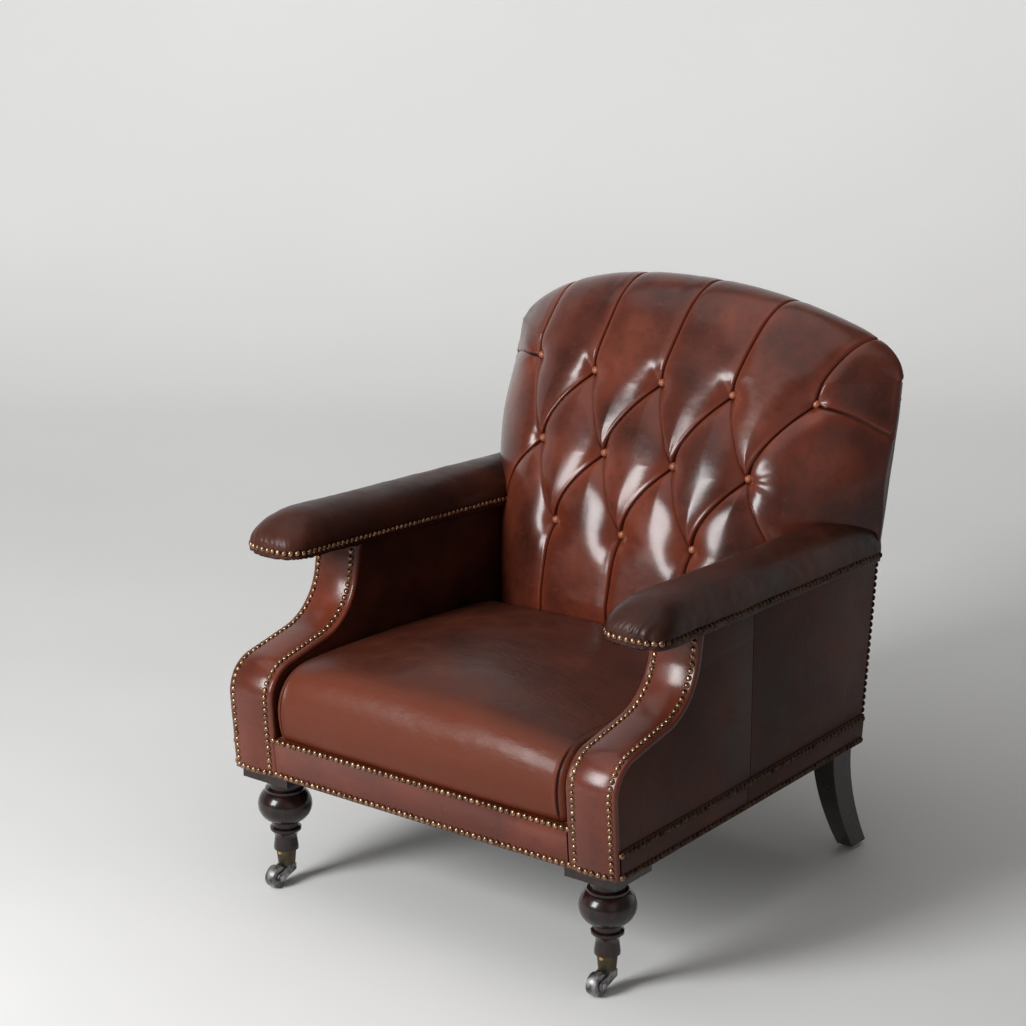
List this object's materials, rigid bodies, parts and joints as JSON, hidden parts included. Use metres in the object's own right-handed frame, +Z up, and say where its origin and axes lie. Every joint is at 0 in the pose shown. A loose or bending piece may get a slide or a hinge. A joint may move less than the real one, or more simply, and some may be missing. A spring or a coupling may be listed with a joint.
{
  "type": "club chair",
  "caption": "Button-backed leather club chair with scrolled arm fronts, padded arms, turned front legs on swivel casters and swept rear legs.",
  "frame": {"origin": "on the floor, under the middle of the chair's bounding box", "axes": "+Z up, the chair faces -Y, +X to the right as seen from the front"},
  "size_m": [0.7616, 0.7744, 0.8693],
  "materials": {
    "oxblood_leather": "waxed and polished, darker in the folds",
    "side_leather": "waxed, darker than the front",
    "arm_leather": "waxed and darkened by handling",
    "frame_wood": "planed, unfinished",
    "dark_mahogany": "french polished, near black",
    "jute_webbing": "woven",
    "hessian": "coarse weave",
    "black_cloth": "matt weave",
    "bronze": "dark patina",
    "brass": "aged",
    "steel": "satin",
    "caster_steel": "worn pewter grey"
  },
  "bodies": {
    "chair": {"back_buttons": "oxblood_leather", "back_pad": "oxblood_leather", "back_rail": "frame_wood", "back_webbing": "jute_webbing", "corner_blocks": "frame_wood", "cup_screws": "brass", "dust_cover": "black_cloth", "front_band": "oxblood_leather", "front_rail": "frame_wood", "left_arm_board": "frame_wood", "left_arm_facing": "oxblood_leather", "left_arm_pad": "arm_leather", "left_arm_post": "frame_wood", "left_arm_rail": "frame_wood", "left_back_post": "frame_wood", "left_caster_cup": "bronze", "left_front_leg": "dark_mahogany", "left_inner_arm_panel": "side_leather", "left_outer_arm_panel": "side_leather", "left_rear_glide": "steel", "left_rear_leg": "dark_mahogany", "left_side_band": "side_leather", "left_side_rail": "frame_wood", "leg_bolts": "steel", "lower_back_rail": "frame_wood", "outside_back_panel": "side_leather", "right_arm_board": "frame_wood", "right_arm_facing": "oxblood_leather", "right_arm_pad": "arm_leather", "right_arm_post": "frame_wood", "right_arm_rail": "frame_wood", "right_back_post": "frame_wood", "right_caster_cup": "bronze", "right_front_leg": "dark_mahogany", "right_inner_arm_panel": "side_leather", "right_outer_arm_panel": "side_leather", "right_rear_glide": "steel", "right_rear_leg": "dark_mahogany", "right_side_band": "side_leather", "right_side_rail": "frame_wood", "seat_cushion": "oxblood_leather", "seat_deck": "hessian", "seat_webbing": "jute_webbing", "top_rail": "frame_wood"},
    "left_caster": {"left_caster_horn": "caster_steel", "left_caster_axle": "steel"},
    "right_caster": {"right_caster_horn": "caster_steel", "right_caster_axle": "steel"},
    "left_wheel": {"left_caster_wheel": "caster_steel"},
    "right_wheel": {"right_caster_wheel": "caster_steel"}
  },
  "joints": [
    {"name": "left_caster_swivel", "type": "hinge", "parent": "chair", "child": "left_caster", "pos_m": [-0.302, -0.324, 0.032], "axis": [0, 0, 1], "continuous": true},
    {"name": "left_wheel_spin", "type": "hinge", "parent": "left_caster", "child": "left_wheel", "pos_m": [-0.302, -0.349, 0.0175], "axis": [1, 0, 0], "continuous": true},
    {"name": "right_caster_swivel", "type": "hinge", "parent": "chair", "child": "right_caster", "pos_m": [0.302, -0.324, 0.032], "axis": [0, 0, 1], "continuous": true},
    {"name": "right_wheel_spin", "type": "hinge", "parent": "right_caster", "child": "right_wheel", "pos_m": [0.302, -0.349, 0.0175], "axis": [1, 0, 0], "continuous": true}
  ]
}
